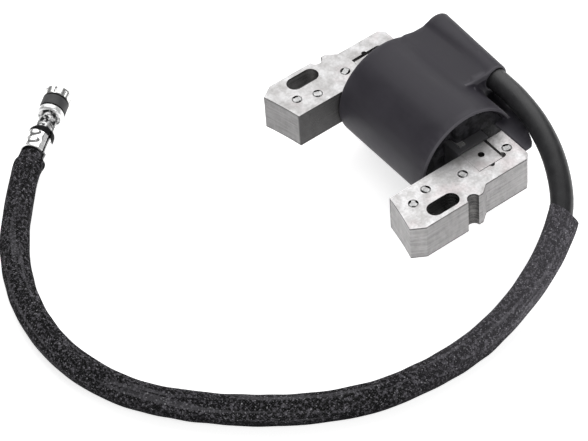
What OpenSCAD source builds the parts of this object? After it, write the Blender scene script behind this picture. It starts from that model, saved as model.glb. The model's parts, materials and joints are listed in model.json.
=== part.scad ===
// Ignition coil (flywheel magneto armature) for a small air-cooled engine.
// Millimetres, +Z up. Origin: midway between the two mounting slots, on the
// mounting (lower) face of the laminated core. +Y points away from the flywheel,
// +X towards the leg that the high-tension lead passes.

/* [Core] */
// Height of the lamination stack
stack_h = 12.7; // [10:0.1:16]
// Clear gap between the two legs
leg_gap = 44; // [43.2:0.1:48]
// Width of each leg across its slot
leg_w = 16.1; // [14:0.1:18]
// Far end of each leg, measured from the slot centres
leg_back = 32.3; // [32:0.1:34]
// Width of the cross bar that carries the windings
bar_w = 9.5; // [8:0.1:11]
// Depth of the bar's tenon in each leg
tenon_l = 8.8; // [7:0.1:9.5]
// Radius of the arc that the pole faces follow
pole_arc_r = 125; // [110:1:140]
// Diameter of the core rivets
rivet_d = 3.1; // [2.5:0.1:3.4]

/* [Mounting slots] */
// Distance between the two slots
slot_spacing = 68; // [66:0.1:69]
// Width of each slot
slot_w = 5.2; // [4.2:0.1:6.2]
// Length of each slot, end to end
slot_l = 11; // [8:0.1:13]

/* [Coil case] */
// Outer diameter of the coil case
case_d = 35; // [34.6:0.1:36]
// Wall of the coil case
case_wall = 1.6; // [1.2:0.1:1.8]
// Closed end of the case
case_far_x = -21.5; // [-21.8:0.1:-21]
// Open, potted end of the case
case_near_x = 19.5; // [19:0.1:20]
// Face of the potting resin in the open end
resin_x = 18.7; // [18.4:0.1:18.9]

/* [Windings] */
// Number of sections of the secondary winding
sections = 8; // [4:1:12]
// Outer diameter of the secondary winding
secondary_d = 29.2; // [27:0.1:29.6]

/* [High-tension lead] */
// Outer diameter of the lead's insulation
lead_d = 7; // [6.6:0.1:7]
// Diameter of the lead's conductor
conductor_d = 1.8; // [1.2:0.1:2]
// Outer diameter of the braided sleeve
sleeve_d = 9.3; // [8.8:0.1:9.3]

/* [Spark plug terminal] */
// Inside diameter of the clip that grips the plug's terminal nut
clip_d = 6.4; // [6.2:0.05:6.6]
// Outer diameter of the socket's skirt
socket_d = 8.7; // [8.5:0.1:8.9]
// Length of the crimp barrel
barrel_l = 10; // [9:0.5:11]

/* [Hidden] */
$fn = 64;
eps = 0.02;

// core
leg_in = leg_gap / 2;
leg_out = leg_in + leg_w;
pole_in_y = -10.5;
pole_arc_y = pole_in_y - sqrt(pole_arc_r * pole_arc_r - leg_in * leg_in);
pole_tip_x = leg_out - 2.6;
notch_y = 8.2;
notch_r = 2;
shoulder_in = 2.3;
coil_y = 21.3;
coil_z = stack_h / 2;
bar_half_l = leg_in + tenon_l;
relief_r = 1;
end_relief_r = 0.8;
tenon_gap = 1.1;
pin_hole_x = 25.7;
pin_hole_r = 1;
rivet_spots = [[28.2, -6.5], [26.1, -0.2], [28.3, 12.1], [28.4, 28.9]];

// case
case_r = case_d / 2;
cavity_r = case_r - case_wall;
rim_chamfer = 0.8;
far_wall = 1.8;
tower_top_z = 21.2;
tower_near_x = 7.5;
boss_far_r = 5.5;
boss_near_r = 4.3;
rib_y = 40.6;
rib_bend_x = 12;
rib_top_z = 12.9;
rib_low_z = 11.7;
tongue_tip_x = 32.5;
tongue_y = leg_back + 0.2;
rib_seat_x = 14.5;
rib_wall_y = 36.5;

// lead seat in the tower
lead_y = 42;
lead_z = 17.4;
lead_seat_x = -6;
contact_x = -9;
contact_r = 1;
tap_r = 0.4;

// bobbins and windings
tube_gap = 0.1;
tube_wall = 0.9;
tube_w = bar_w + 2 * (tube_gap + tube_wall);
tube_h = stack_h + 2 * (tube_gap + tube_wall);
tube_half_l = leg_in - 0.1;
wind_far_x = -18.9;
wind_near_x = 13;
flange_t = 0.8;
primary_build = 1.7;
insulation_t = 0.3;
sec_in_r = 11.5;
sec_wall = 0.8;
sec_flange_r = 15.1;
sec_flange_t = 0.7;
section_pitch = (wind_near_x - wind_far_x - sec_flange_t) / sections;

// electronics in the open end
board_x = wind_near_x + 0.3;
board_t = 0.8;
board_y = 27.5;
board_w = 6.5;
board_z = -3;
board_h = 18;
part_x = board_x + board_t;
pocket_x = 15.5;
pocket_y = 17.5;
strap_z = 5;
strap_w = 3;
strap_t = 0.5;
wire_r = 0.35;
wire_y = coil_y + tube_w / 2 + primary_build / 2;
wire_zs = [1.5, 11];
tab_w = 2.2;
tab_t = 0.4;
tab_seat = 2.5;
tab_y = 17.6;
tab_end_x = 20.2;

// route of the lead's centre, from its seat in the tower to the terminal
lead_route = [
    [lead_seat_x, lead_y, lead_z],
    [tower_near_x, lead_y, lead_z],
    [19, 41.5, 17.3],
    [31, 39.5, 16.1],
    [43, 35.5, 12.9],
    [54, 28.5, 8.2],
    [61, 18.5, 3.3],
    [65, 8, -1],
    [67.5, -3, -4.3],
    [69, -14.5, -6.2],
    [69.5, -26, -6.5],
    [68.5, -38, -6.5],
    [66, -50, -6.5],
    [61, -61.5, -6.5],
    [54, -72.5, -6.5],
    [45.5, -83, -6.5],
    [36, -92.5, -6.5],
    [25, -101, -6.5],
    [13, -107, -6.5],
    [0, -110.5, -6.5],
    [-13, -111, -6.5],
    [-26, -109, -6.5],
    [-38.5, -104.5, -6.5],
    [-50, -98, -6.5],
    [-61.5, -89, -6.5],
    [-72.5, -79, -6.5],
    [-74.39, -76.91, -6.5],
    [-77.5, -73, -6.5],
    [-81.2, -68.35, -6.5]
];
sleeve_first = 5;
sleeve_last = 26;
cable_sides = 12;
conductor_sides = 8;
terminal_at = lead_route[27];
terminal_turn = 128.5;

// terminal, measured along its own axis from the mouth of the crimp barrel
lead_end_l = 5.94;
tip_overlap = 0.5;
tip_waist = 0.1;
barrel_r = lead_d / 2 + 0.7;
barrel_bore = lead_d / 2 + 0.06;
barrel_end_t = 1;
barrel_chamfer = 0.8;
seam_w = 0.9;
seam_turn = 236;
wing_l = 4.5;
wing_turn = 292;
wing_w = 5;
foot_t = 0.8;
neck_r = 2.9;
neck_wall = 0.5;
neck_hole_l = 13.8;
neck_hole_r = 1;
neck_hole_turn = 233;
shoulder_l = 17.2;
socket_l = 26.6;
socket_wall = 0.5;
rim_r = socket_d / 2 + 0.25;
rim_l = 2.6;
notches = 8;
notch_w = 0.6;
clip_l = [19.5, 24.5];
clip_gap_w = 3.2;

// ---- helpers ----

// extrudes a profile drawn in the Y-Z plane along X
module along_x(x0, x1)
    translate([x0, 0, 0]) rotate([90, 0, 90]) linear_extrude(x1 - x0) children();

// round bar along X about the point (y, z)
module rod_x(x0, x1, y, z, r, r_end = -1)
    translate([x0, y, z]) rotate([0, 90, 0])
        cylinder(h = x1 - x0, r1 = r, r2 = r_end < 0 ? r : r_end);

// box from its low corner to its high corner
module span(lo, hi) translate(lo) cube(hi - lo);

// rectangle with round corners, centred
module round_rect(w, h, r) {
    square([w - 2 * r, h], center = true);
    square([w, h - 2 * r], center = true);
    for (sx = [-1, 1], sy = [-1, 1])
        translate([sx * (w / 2 - r), sy * (h / 2 - r)]) circle(r);
}

// slot that runs along Y, centred
module slot_shape(w, l) {
    square([w, l - w], center = true);
    for (s = [-1, 1]) translate([0, s * (l - w) / 2]) circle(w / 2);
}

// places children on the terminal's own axis
module on_terminal()
    translate(terminal_at) rotate([0, 0, terminal_turn]) rotate([0, 90, 0]) children();

function unit(v) = v / norm(v);

// direction of the route at point i
function heading(i) =
    unit(lead_route[min(i + 1, len(lead_route) - 1)] - lead_route[max(i - 1, 0)]);

// ring of points about route point i, square to the route
function ring(i, r, sides) =
    let (t = heading(i), s = unit(cross(t, [0, 0, 1])), u = cross(s, t))
    [for (k = [0 : sides - 1])
        lead_route[i] + r * (cos(360 * k / sides) * s + sin(360 * k / sides) * u)];

// tube swept along the route from point a to point b, with a bore when bore_r > 0
module swept(a, b, r, sides, bore_r = 0) {
    rings = b - a + 1;
    n = sides;
    outer = [for (i = [a : b]) each ring(i, r, n)];
    inner = bore_r > 0 ? [for (i = [a : b]) each ring(i, bore_r, n)] : [];
    base = rings * n;
    last = (rings - 1) * n;
    outer_faces = [for (i = [0 : rings - 2], k = [0 : n - 1])
        let (p = i * n + k, q = i * n + (k + 1) % n) [p, q, q + n, p + n]];
    inner_faces = [for (i = [0 : rings - 2], k = [0 : n - 1])
        let (p = base + i * n + k, q = base + i * n + (k + 1) % n) [p, p + n, q + n, q]];
    plain_ends = [[for (k = [n - 1 : -1 : 0]) k], [for (k = [0 : n - 1]) last + k]];
    ring_ends = [for (k = [0 : n - 1]) let (j = (k + 1) % n) each [
        [k, base + k, base + j, j],
        [last + k, last + j, base + last + j, base + last + k]]];
    polyhedron(
        points = concat(outer, inner),
        faces = bore_r > 0
            ? concat(outer_faces, inner_faces, ring_ends)
            : concat(outer_faces, plain_ends));
}

// ---- laminated core ----

// pocket for the bar's tenon, opened out towards its mouth on one side
module tenon_pocket() {
    polygon([
        [leg_in - 1, coil_y - bar_w / 2], [bar_half_l, coil_y - bar_w / 2],
        [bar_half_l, coil_y + bar_w / 2], [bar_half_l - relief_r, coil_y + bar_w / 2],
        [leg_in - 1, coil_y + bar_w / 2 + tenon_gap]
    ]);
}

// plan of the leg on the +X side
module leg_plan() {
    difference() {
        polygon([
            [leg_in, pole_in_y - 5], [pole_tip_x, pole_in_y - 5],
            [pole_tip_x, pole_in_y - 3.2], [leg_out, pole_in_y + 1],
            [leg_out, 11.8], [leg_out - shoulder_in, 14.8],
            [leg_out - shoulder_in, leg_back - 1.8],
            [leg_out - shoulder_in - 1.8, leg_back], [leg_in, leg_back]
        ]);
        translate([0, pole_arc_y]) circle(pole_arc_r, $fn = 256);
        translate([leg_out + 0.1, notch_y]) circle(notch_r);
        translate([slot_spacing / 2, 0]) slot_shape(slot_w, slot_l);
        tenon_pocket();
        translate([bar_half_l - relief_r, coil_y + bar_w / 2]) circle(relief_r);
        translate([bar_half_l, coil_y]) circle(end_relief_r);
        for (p = rivet_spots) translate(p) circle(rivet_d / 2);
    }
}

module core_leg_front() color("gainsboro") linear_extrude(stack_h) leg_plan();

module core_leg_rear() color("gainsboro") mirror([1, 0, 0]) linear_extrude(stack_h) leg_plan();

module core_bar() {
    color("silver") linear_extrude(stack_h) difference() {
        translate([-bar_half_l, coil_y - bar_w / 2]) square([2 * bar_half_l, bar_w]);
        for (s = [-1, 1]) translate([s * pin_hole_x, coil_y]) circle(pin_hole_r);
    }
}

module core_rivets() {
    color("lightgray") for (side = [0, 1], p = rivet_spots) mirror([side, 0, 0])
        translate(p) cylinder(h = stack_h, r = rivet_d / 2 - eps);
}

// ---- case and resin ----

// wall that joins the tower to the round body
module tower_web() {
    polygon([
        [24, 14], [30.56, tower_top_z], [lead_y, tower_top_z],
        [46.1, lead_z], [46, 14], [43.5, 10.5], [38.5, 8], [30, 8]
    ]);
}

// flat rib along the wall, seated in the resin, and the tongue that it runs out to
module rib_shape() {
    translate([0, 0, rib_low_z]) linear_extrude(rib_top_z - rib_low_z) polygon([
        [tower_near_x - 4, rib_wall_y], [tower_near_x - 4, rib_y], [rib_bend_x, rib_y],
        [case_near_x, rib_y - 0.6], [tongue_tip_x - 6.8, rib_y - 1.8],
        [tongue_tip_x - 3.1, rib_y - 3.3], [tongue_tip_x - 1.2, rib_y - 4.3],
        [tongue_tip_x, rib_y - 5.4], [tongue_tip_x + 0.2, tongue_y],
        [rib_seat_x, tongue_y], [rib_seat_x, rib_wall_y]
    ]);
}

module coil_case() {
    color("dimgray") {
        difference() {
            union() {
                rod_x(case_far_x, case_near_x - rim_chamfer, coil_y, coil_z, case_r);
                rod_x(case_near_x - rim_chamfer, case_near_x, coil_y, coil_z,
                    case_r, case_r - rim_chamfer);
                along_x(case_far_x, tower_near_x) tower_web();
                rod_x(case_far_x, tower_near_x, lead_y, lead_z, boss_far_r, boss_near_r);
            }
            rod_x(case_far_x + far_wall, case_near_x + 1, coil_y, coil_z, cavity_r);
            along_x(case_far_x - 1, case_far_x + far_wall + 1)
                translate([coil_y, coil_z]) square([tube_w, tube_h], center = true);
            rod_x(lead_seat_x, tower_near_x + 1, lead_y, lead_z, lead_d / 2 + 0.05);
            rod_x(contact_x, lead_seat_x + 1, lead_y, lead_z, contact_r);
            secondary_tap_path(tap_r);
        }
        rib_shape();
    }
}

// straight run from the secondary winding's outside to the tower contact
module secondary_tap_path(r) {
    from = [contact_x + 1, coil_y + 14.2 * sin(62), coil_z + 14.2 * cos(62)];
    to = [contact_x + 1, lead_y - contact_r, lead_z];
    run = to - from;
    translate(from) rotate([-90 + atan2(run[2], run[1]), 0, 0])
        cylinder(h = norm(run), r = r, $fn = 24);
}

module secondary_tap() {
    color("peru") difference() {
        secondary_tap_path(tap_r - eps);
        rod_x(contact_x - 1, lead_seat_x, lead_y, lead_z, contact_r);
        rod_x(wind_far_x, wind_near_x, coil_y, coil_z, secondary_d / 2 + eps);
        rod_x(wind_far_x, resin_x, coil_y, coil_z, sec_flange_r + eps);
    }
}

module tower_contact() {
    color("goldenrod") {
        rod_x(contact_x, lead_seat_x, lead_y, lead_z, contact_r - eps);
        rod_x(lead_seat_x, lead_seat_x + 2, lead_y, lead_z, conductor_d / 2 - 0.2, 0.2);
    }
}

// everything that the resin flows round in the open end
module resin_voids() {
    rod_x(wind_far_x - 2, wind_near_x + 0.01, coil_y, coil_z, sec_flange_r);
    along_x(wind_far_x - 2, resin_x + 1)
        translate([coil_y, coil_z]) square([tube_w, tube_h], center = true);
    span([board_x, board_y, board_z], [part_x, board_y + board_w, board_z + board_h]);
    board_parts_space();
    primary_wire_runs(wire_r);
    strap_shape();
    secondary_tap_path(tap_r);
    rib_shape();
    stop_tab(resin_x + 1);
}

module potting_resin() {
    color("darkslategray") difference() {
        rod_x(case_far_x + far_wall, resin_x, coil_y, coil_z, cavity_r - eps);
        resin_voids();
        span([pocket_x, coil_y - case_r, coil_z - case_r],
            [resin_x + 1, pocket_y, coil_z + case_r]);
    }
}

// ---- windings ----

module primary_bobbin() {
    color("wheat") difference() {
        union() {
            along_x(-tube_half_l, tube_half_l)
                translate([coil_y, coil_z]) square([tube_w, tube_h], center = true);
            for (x = [wind_far_x, wind_near_x - flange_t]) along_x(x, x + flange_t)
                translate([coil_y, coil_z]) round_rect(tube_w + 4.2, tube_h + 4, 3.2);
        }
        along_x(-leg_in, leg_in) translate([coil_y, coil_z])
            square([bar_w + 2 * tube_gap, stack_h + 2 * tube_gap], center = true);
        strap_shape();
        primary_wire_runs(wire_r);
    }
}

module primary_winding() {
    color("sienna") along_x(wind_far_x + flange_t, wind_near_x - flange_t)
        translate([coil_y, coil_z]) difference() {
            round_rect(tube_w + 2 * primary_build, tube_h + 2 * primary_build, 2.5);
            square([tube_w, tube_h], center = true);
        }
}

module winding_insulation() {
    color("khaki") along_x(wind_far_x + flange_t, wind_near_x - flange_t)
        translate([coil_y, coil_z]) difference() {
            round_rect(tube_w + 2 * (primary_build + insulation_t),
                tube_h + 2 * (primary_build + insulation_t), 2.5 + insulation_t);
            round_rect(tube_w + 2 * primary_build, tube_h + 2 * primary_build, 2.5);
        }
}

module secondary_bobbin() {
    color("ivory") difference() {
        union() {
            rod_x(wind_far_x, wind_near_x, coil_y, coil_z, sec_in_r + sec_wall);
            for (i = [0 : sections])
                rod_x(wind_far_x + i * section_pitch, wind_far_x + i * section_pitch + sec_flange_t,
                    coil_y, coil_z, sec_flange_r);
        }
        rod_x(wind_far_x - 1, wind_near_x + 1, coil_y, coil_z, sec_in_r);
    }
}

module secondary_winding() {
    color("chocolate") for (i = [0 : sections - 1]) difference() {
        x0 = wind_far_x + i * section_pitch + sec_flange_t;
        rod_x(x0, x0 + section_pitch - sec_flange_t, coil_y, coil_z, secondary_d / 2);
        rod_x(x0 - 1, x0 + section_pitch, coil_y, coil_z, sec_in_r + sec_wall);
    }
}

// ---- ignition electronics ----

module circuit_board() {
    color("darkgreen")
        span([board_x, board_y, board_z], [part_x, board_y + board_w, board_z + board_h]);
}

module transistor_shape()
    span([part_x, board_y + 0.6, 8.5], [part_x + 2, board_y + 4.6, 14]);

module trigger_shape() rod_x(part_x, part_x + 2, board_y + 3.5, 4, 2.4);

module resistors_shape()
    for (y = [board_y + 1, board_y + 4.2]) span([part_x, y, -2], [part_x + 0.8, y + 1.8, 0.5]);

module board_parts_space() {
    transistor_shape();
    trigger_shape();
    resistors_shape();
}

module switching_transistor() color("black") transistor_shape();

module trigger_coil() color("sienna") trigger_shape();

module board_resistors() color("black") resistors_shape();

// two enamelled wires from the primary winding to the board
module primary_wire_runs(r)
    for (z = wire_zs) rod_x(wind_near_x - flange_t, board_x, wire_y, z, r);

module primary_leads() color("sienna") primary_wire_runs(wire_r - eps);

module strap_shape()
    span([board_x, coil_y + bar_w / 2, strap_z], [board_x + strap_t, board_y, strap_z + strap_w]);

module ground_strap() color("goldenrod") strap_shape();

// tab that lies on the bobbin's tube and runs out of the resin to x1
module stop_tab(x1)
    span([resin_x - tab_seat, tab_y, coil_z + tube_h / 2],
        [x1, tab_y + tab_w, coil_z + tube_h / 2 + tab_t]);

module stop_terminal() color("silver") stop_tab(tab_end_x);

// ---- high-tension lead ----

module lead_conductor() {
    color("peru") difference() {
        swept(0, len(lead_route) - 1, conductor_d / 2, conductor_sides);
        rod_x(lead_seat_x - 1, lead_seat_x + 2, lead_y, lead_z, conductor_d / 2 + 0.1);
    }
    color("peru") on_terminal() translate([0, 0, lead_end_l - tip_overlap])
        cylinder(h = barrel_l - barrel_end_t - foot_t - lead_end_l + tip_overlap,
            r = conductor_d / 2 - tip_waist);
}

module lead_jacket()
    color([0.16, 0.16, 0.17])
        swept(0, len(lead_route) - 1, lead_d / 2, cable_sides, conductor_d / 2 + 0.1);

module lead_sleeve()
    color([0.1, 0.1, 0.11])
        swept(sleeve_first, sleeve_last, sleeve_d / 2, cable_sides, lead_d / 2 + 0.12);

// ---- spark plug terminal ----

module crimp_barrel() {
    color("whitesmoke") on_terminal() difference() {
        union() {
            translate([0, 0, -wing_l])
                cylinder(h = wing_l + barrel_l - barrel_chamfer, r = barrel_r);
            translate([0, 0, barrel_l - barrel_chamfer])
                cylinder(h = barrel_chamfer, r1 = barrel_r, r2 = barrel_r - barrel_chamfer);
        }
        translate([0, 0, -wing_l - 1])
            cylinder(h = barrel_l + wing_l - barrel_end_t + 1, r = barrel_bore);
        cylinder(h = barrel_l + 1, r = neck_r);
        difference() {
            translate([0, 0, -wing_l - 1]) cylinder(h = wing_l + 1, r = barrel_r + 1);
            rotate([0, 0, wing_turn]) translate([0, -wing_w / 2, -wing_l - 2])
                cube([barrel_r + 2, wing_w, wing_l + 3]);
        }
        rotate([0, 0, seam_turn]) translate([0, -seam_w / 2, -1])
            cube([barrel_r + 1, seam_w, barrel_l - barrel_end_t + 0.5]);
    }
}

module terminal_socket() {
    skirt_r = socket_d / 2;
    foot_z = barrel_l - barrel_end_t - foot_t;
    color("whitesmoke") on_terminal() difference() {
        union() {
            translate([0, 0, foot_z]) cylinder(h = foot_t - eps, r = neck_r + 0.4);
            translate([0, 0, foot_z]) cylinder(h = shoulder_l - foot_z, r = neck_r - eps);
            translate([0, 0, shoulder_l - 1]) cylinder(h = 2, r1 = neck_r, r2 = skirt_r);
            translate([0, 0, shoulder_l + 1])
                cylinder(h = socket_l - shoulder_l - rim_l, r = skirt_r);
            translate([0, 0, socket_l - rim_l]) cylinder(h = rim_l / 2, r1 = skirt_r, r2 = rim_r);
            translate([0, 0, socket_l - rim_l / 2]) cylinder(h = rim_l / 2, r = rim_r);
        }
        translate([0, 0, barrel_l])
            cylinder(h = shoulder_l - barrel_l, r = neck_r - neck_wall);
        translate([0, 0, shoulder_l + 1]) cylinder(h = socket_l, r = skirt_r - socket_wall);
        translate([0, 0, neck_hole_l]) rotate([0, 0, neck_hole_turn]) rotate([0, 90, 0])
            cylinder(h = neck_r + 1, r = neck_hole_r);
        for (i = [0 : notches - 1]) rotate([0, 0, 360 * i / notches])
            translate([skirt_r - 1, -notch_w / 2, socket_l - rim_l])
                cube([3, notch_w, rim_l + 1]);
    }
}

module socket_clip() {
    color("silver") on_terminal() difference() {
        translate([0, 0, clip_l[0]])
            cylinder(h = clip_l[1] - clip_l[0], r = socket_d / 2 - socket_wall - eps);
        translate([0, 0, clip_l[0] - 1]) cylinder(h = clip_l[1], r = clip_d / 2);
        translate([0, -clip_gap_w / 2, clip_l[0] - 1]) cube([10, clip_gap_w, clip_l[1]]);
    }
}

core_leg_front();
core_leg_rear();
core_bar();
core_rivets();
coil_case();
potting_resin();
primary_bobbin();
primary_winding();
winding_insulation();
secondary_bobbin();
secondary_winding();
secondary_tap();
tower_contact();
circuit_board();
switching_transistor();
trigger_coil();
board_resistors();
primary_leads();
ground_strap();
stop_terminal();
lead_conductor();
lead_jacket();
lead_sleeve();
crimp_barrel();
terminal_socket();
socket_clip();
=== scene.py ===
"""Looks of the ignition coil: studio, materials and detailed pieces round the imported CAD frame."""

import json
import math

import bmesh
import bpy
import numpy as np
import openvdb
from mathutils import Matrix, Quaternion, Vector


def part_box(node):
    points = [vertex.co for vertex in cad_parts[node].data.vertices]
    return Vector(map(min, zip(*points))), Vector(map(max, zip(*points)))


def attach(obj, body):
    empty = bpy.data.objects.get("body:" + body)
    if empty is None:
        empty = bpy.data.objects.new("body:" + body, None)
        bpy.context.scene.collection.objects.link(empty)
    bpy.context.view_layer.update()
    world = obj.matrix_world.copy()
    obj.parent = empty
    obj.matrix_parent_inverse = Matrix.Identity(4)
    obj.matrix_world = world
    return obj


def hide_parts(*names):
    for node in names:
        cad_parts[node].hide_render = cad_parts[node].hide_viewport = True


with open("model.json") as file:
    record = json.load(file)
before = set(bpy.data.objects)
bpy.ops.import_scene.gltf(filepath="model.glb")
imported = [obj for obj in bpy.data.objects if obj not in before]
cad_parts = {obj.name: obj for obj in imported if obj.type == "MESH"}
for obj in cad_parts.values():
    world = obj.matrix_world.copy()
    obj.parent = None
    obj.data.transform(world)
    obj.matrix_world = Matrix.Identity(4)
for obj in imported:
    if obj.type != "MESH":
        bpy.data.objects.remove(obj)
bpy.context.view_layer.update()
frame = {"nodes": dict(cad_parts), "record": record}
rng = np.random.default_rng(11)

MM = 0.001

# ---- sizes that the looks share with the CAD part, in millimetres -------------------------

STACK_H = 12.7
LEG_IN, BAR_W = 22.0, 9.5
NOTCH_AT, NOTCH_R = (38.2, 8.2), 2.0
COIL_Y, COIL_Z = 21.3, STACK_H / 2
CASE_R, CAVITY_R = 17.5, 15.9
CASE_X, CASE_END_WALL = (-21.5, 19.5), 1.8
TUBE_HALF_W, TUBE_HALF_H = BAR_W / 2 + 1, STACK_H / 2 + 1
TOWER_NEAR_X, LEAD_Y, LEAD_Z = 7.5, 42.0, 17.4
RIB_Z = (11.7, 12.9)
RESIN_X, POCKET_X, POCKET_Y = 18.7, 15.5, 17.5
LEAD_R, SLEEVE_R = 3.5, 4.65
FLOOR_Z = COIL_Z - CASE_R

# ---- the studio -------------------------------------------------------------------------

# The camera stands far off, with a long lens, at the photo's viewing angle.
CAMERA_AT = Vector((0.50783, -0.36855, 0.65951))
CAMERA_LOOK = Vector((-0.56438, 0.37621, -0.73480))
CAMERA_ROLL = math.radians(-4.70)
LENS_MM = 184.45
SENSOR_MM = 36.0


def make_camera():
    data = bpy.data.cameras.new("camera")
    data.lens, data.sensor_width = LENS_MM, SENSOR_MM
    data.clip_start, data.clip_end = 0.05, 20
    camera = bpy.data.objects.new("camera", data)
    camera.rotation_mode = "QUATERNION"
    camera.location = CAMERA_AT
    roll = Quaternion((0, 0, 1), CAMERA_ROLL)
    camera.rotation_quaternion = CAMERA_LOOK.to_track_quat("-Z", "Y") @ roll
    bpy.context.scene.collection.objects.link(camera)
    bpy.context.scene.camera = camera


def area_light(name, at, size, watts):
    """Square light that faces the origin."""
    data = bpy.data.lights.new(name, "AREA")
    data.energy, data.size = watts, size
    light = bpy.data.objects.new(name, data)
    light.location = at
    light.rotation_mode = "QUATERNION"
    light.rotation_quaternion = (-light.location).to_track_quat("-Z", "Y")
    bpy.context.scene.collection.objects.link(light)


def make_lights():
    world = bpy.data.worlds.new("studio")
    bpy.context.scene.world = world
    world.use_nodes = True
    world.node_tree.nodes["Background"].inputs["Color"].default_value = (1, 1, 1, 1)
    world.node_tree.nodes["Background"].inputs["Strength"].default_value = 0.2
    area_light("key", Vector((-0.73, 0.49, 0.96)), 1.6, 15)
    area_light("fill", Vector((0.95, -0.25, 0.75)), 0.9, 5)


# ---- materials --------------------------------------------------------------------------

# At this scale a wave texture repeats once in each unit of its vector.
ONE_WAVE = 2 * math.pi / 20


def grey(shade):
    return (shade,) * 3


class Tree:
    """A material's node tree, with short calls that add one node each."""

    def __init__(self, name, color, rough, metal=0.0, **fixed):
        self.material = bpy.data.materials.new(name)
        self.material.use_nodes = True
        self.nodes = self.material.node_tree.nodes
        self.links = self.material.node_tree.links
        self.shader = self.nodes["Principled BSDF"]
        self.shader.inputs["Base Color"].default_value = (*color, 1)
        self.shader.inputs["Roughness"].default_value = rough
        self.shader.inputs["Metallic"].default_value = metal
        for socket, value in fixed.items():
            self.shader.inputs[socket.replace("_", " ")].default_value = value

    def add(self, kind, settings=(), **inputs):
        node = self.nodes.new(kind)
        for key, value in dict(settings).items():
            setattr(node, key, value)
        for socket, value in inputs.items():
            self.put(value, node.inputs[socket.replace("_", " ")])
        return node

    def put(self, value, socket):
        if isinstance(value, bpy.types.NodeSocket):
            self.links.new(value, socket)
        else:
            socket.default_value = value

    def place(self, stretch=(1, 1, 1)):
        """The object's own coordinates, stretched."""
        coords = self.add("ShaderNodeTexCoord").outputs["Object"]
        return self.add("ShaderNodeMapping", Vector=coords, Scale=stretch).outputs["Vector"]

    def noise(self, size_mm, stretch=(1, 1, 1), detail=4.0, roughness=0.55):
        node = self.add(
            "ShaderNodeTexNoise", Vector=self.place(stretch), Scale=1 / (size_mm * MM),
            Detail=detail, Roughness=roughness)
        return node.outputs["Fac"]

    def ramp(self, value, *stops):
        """Ramp through (position, grey) stops."""
        node = self.add("ShaderNodeValToRGB", Fac=value)
        steps = node.color_ramp.elements
        while len(steps) < len(stops):
            steps.new(0.5)
        for step, (at, shade) in zip(steps, stops):
            step.position = at
            step.color = (*grey(shade), 1)
        return node.outputs["Color"]

    def scaled(self, value, low, high, from_low=0.3, from_high=0.7):
        node = self.add(
            "ShaderNodeMapRange", Value=value, From_Min=from_low, From_Max=from_high,
            To_Min=low, To_Max=high)
        return node.outputs["Result"]

    def math(self, operation, a, b=0.5):
        node = self.add("ShaderNodeMath", {"operation": operation})
        self.put(a, node.inputs[0])
        self.put(b, node.inputs[1])
        return node.outputs[0]

    def mix(self, share, a, b, blend="MIX"):
        node = self.add("ShaderNodeMix", {"data_type": "RGBA", "blend_type": blend})
        for value, socket in ((share, 0), (a, 6), (b, 7)):
            if not isinstance(value, bpy.types.NodeSocket) and socket != 0:
                value = (*value, 1)
            self.put(value, node.inputs[socket])
        return node.outputs[2]

    def color(self, value):
        self.put(value, self.shader.inputs["Base Color"])

    def rough(self, value):
        self.put(value, self.shader.inputs["Roughness"])

    def bump(self, height, depth_mm):
        """Adds relief on top of what the shader's normal already has."""
        before = self.shader.inputs["Normal"]
        node = self.add("ShaderNodeBump", Height=height, Distance=depth_mm * MM, Strength=1.0)
        if before.links:
            self.put(before.links[0].from_socket, node.inputs["Normal"])
        self.put(node.outputs["Normal"], before)

    def axis(self, letter):
        """The object's own coordinate along one axis, in millimetres."""
        coords = self.add("ShaderNodeTexCoord").outputs["Object"]
        split = self.add("ShaderNodeSeparateXYZ", Vector=coords)
        return self.math("DIVIDE", split.outputs[letter], MM)

    def distance(self, *spans):
        """Distance in millimetres from a line or point, given as (axis, place) pairs."""
        total = 0.0
        for letter, place in spans:
            away = self.math("SUBTRACT", self.axis(letter), place)
            total = self.math("ADD", self.math("MULTIPLY", away, away), total)
        return self.math("SQRT", total)

    def all_of(self, *masks):
        """The product of the masks: 1 only where every one is 1."""
        product = masks[0]
        for mask in masks[1:]:
            product = self.math("MULTIPLY", product, mask)
        return product

    def between(self, value, low, high, soft=0.15):
        """1 while the value is between two limits, with soft ends."""
        rise = self.scaled(value, 0, 1, low - soft, low)
        fall = self.scaled(value, 1, 0, high, high + soft)
        return self.all_of(rise, fall)

    def edge(self):
        """1 on sharp outer edges and 0 elsewhere: edge wear, and on the case also a painted
        highlight.
        """
        point = self.add("ShaderNodeNewGeometry").outputs["Pointiness"]
        return self.scaled(point, 0.0, 1.0, 0.5, 0.56)


def plain_surface(name, dark, light, rough, grain, metal=0.0, wear=0.25, **fixed):
    """A surface with uneven colour and roughness, fine relief and lighter worn edges."""
    t = Tree(name, light, rough[1], metal, **fixed)
    coarse = t.noise(grain * 6, detail=3)
    fine = t.noise(grain, detail=5)
    body = t.mix(t.scaled(coarse, 0, 1), dark, light)
    flecks = t.mix(t.scaled(fine, 0, 0.35), body, light)
    worn = tuple(min(1.0, c * 1.5 + 0.03) for c in light)
    t.color(t.mix(t.math("MULTIPLY", t.edge(), wear), flecks, worn))
    t.rough(t.scaled(fine, rough[0], rough[1]))
    t.bump(fine, 0.02)
    return t.material


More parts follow.
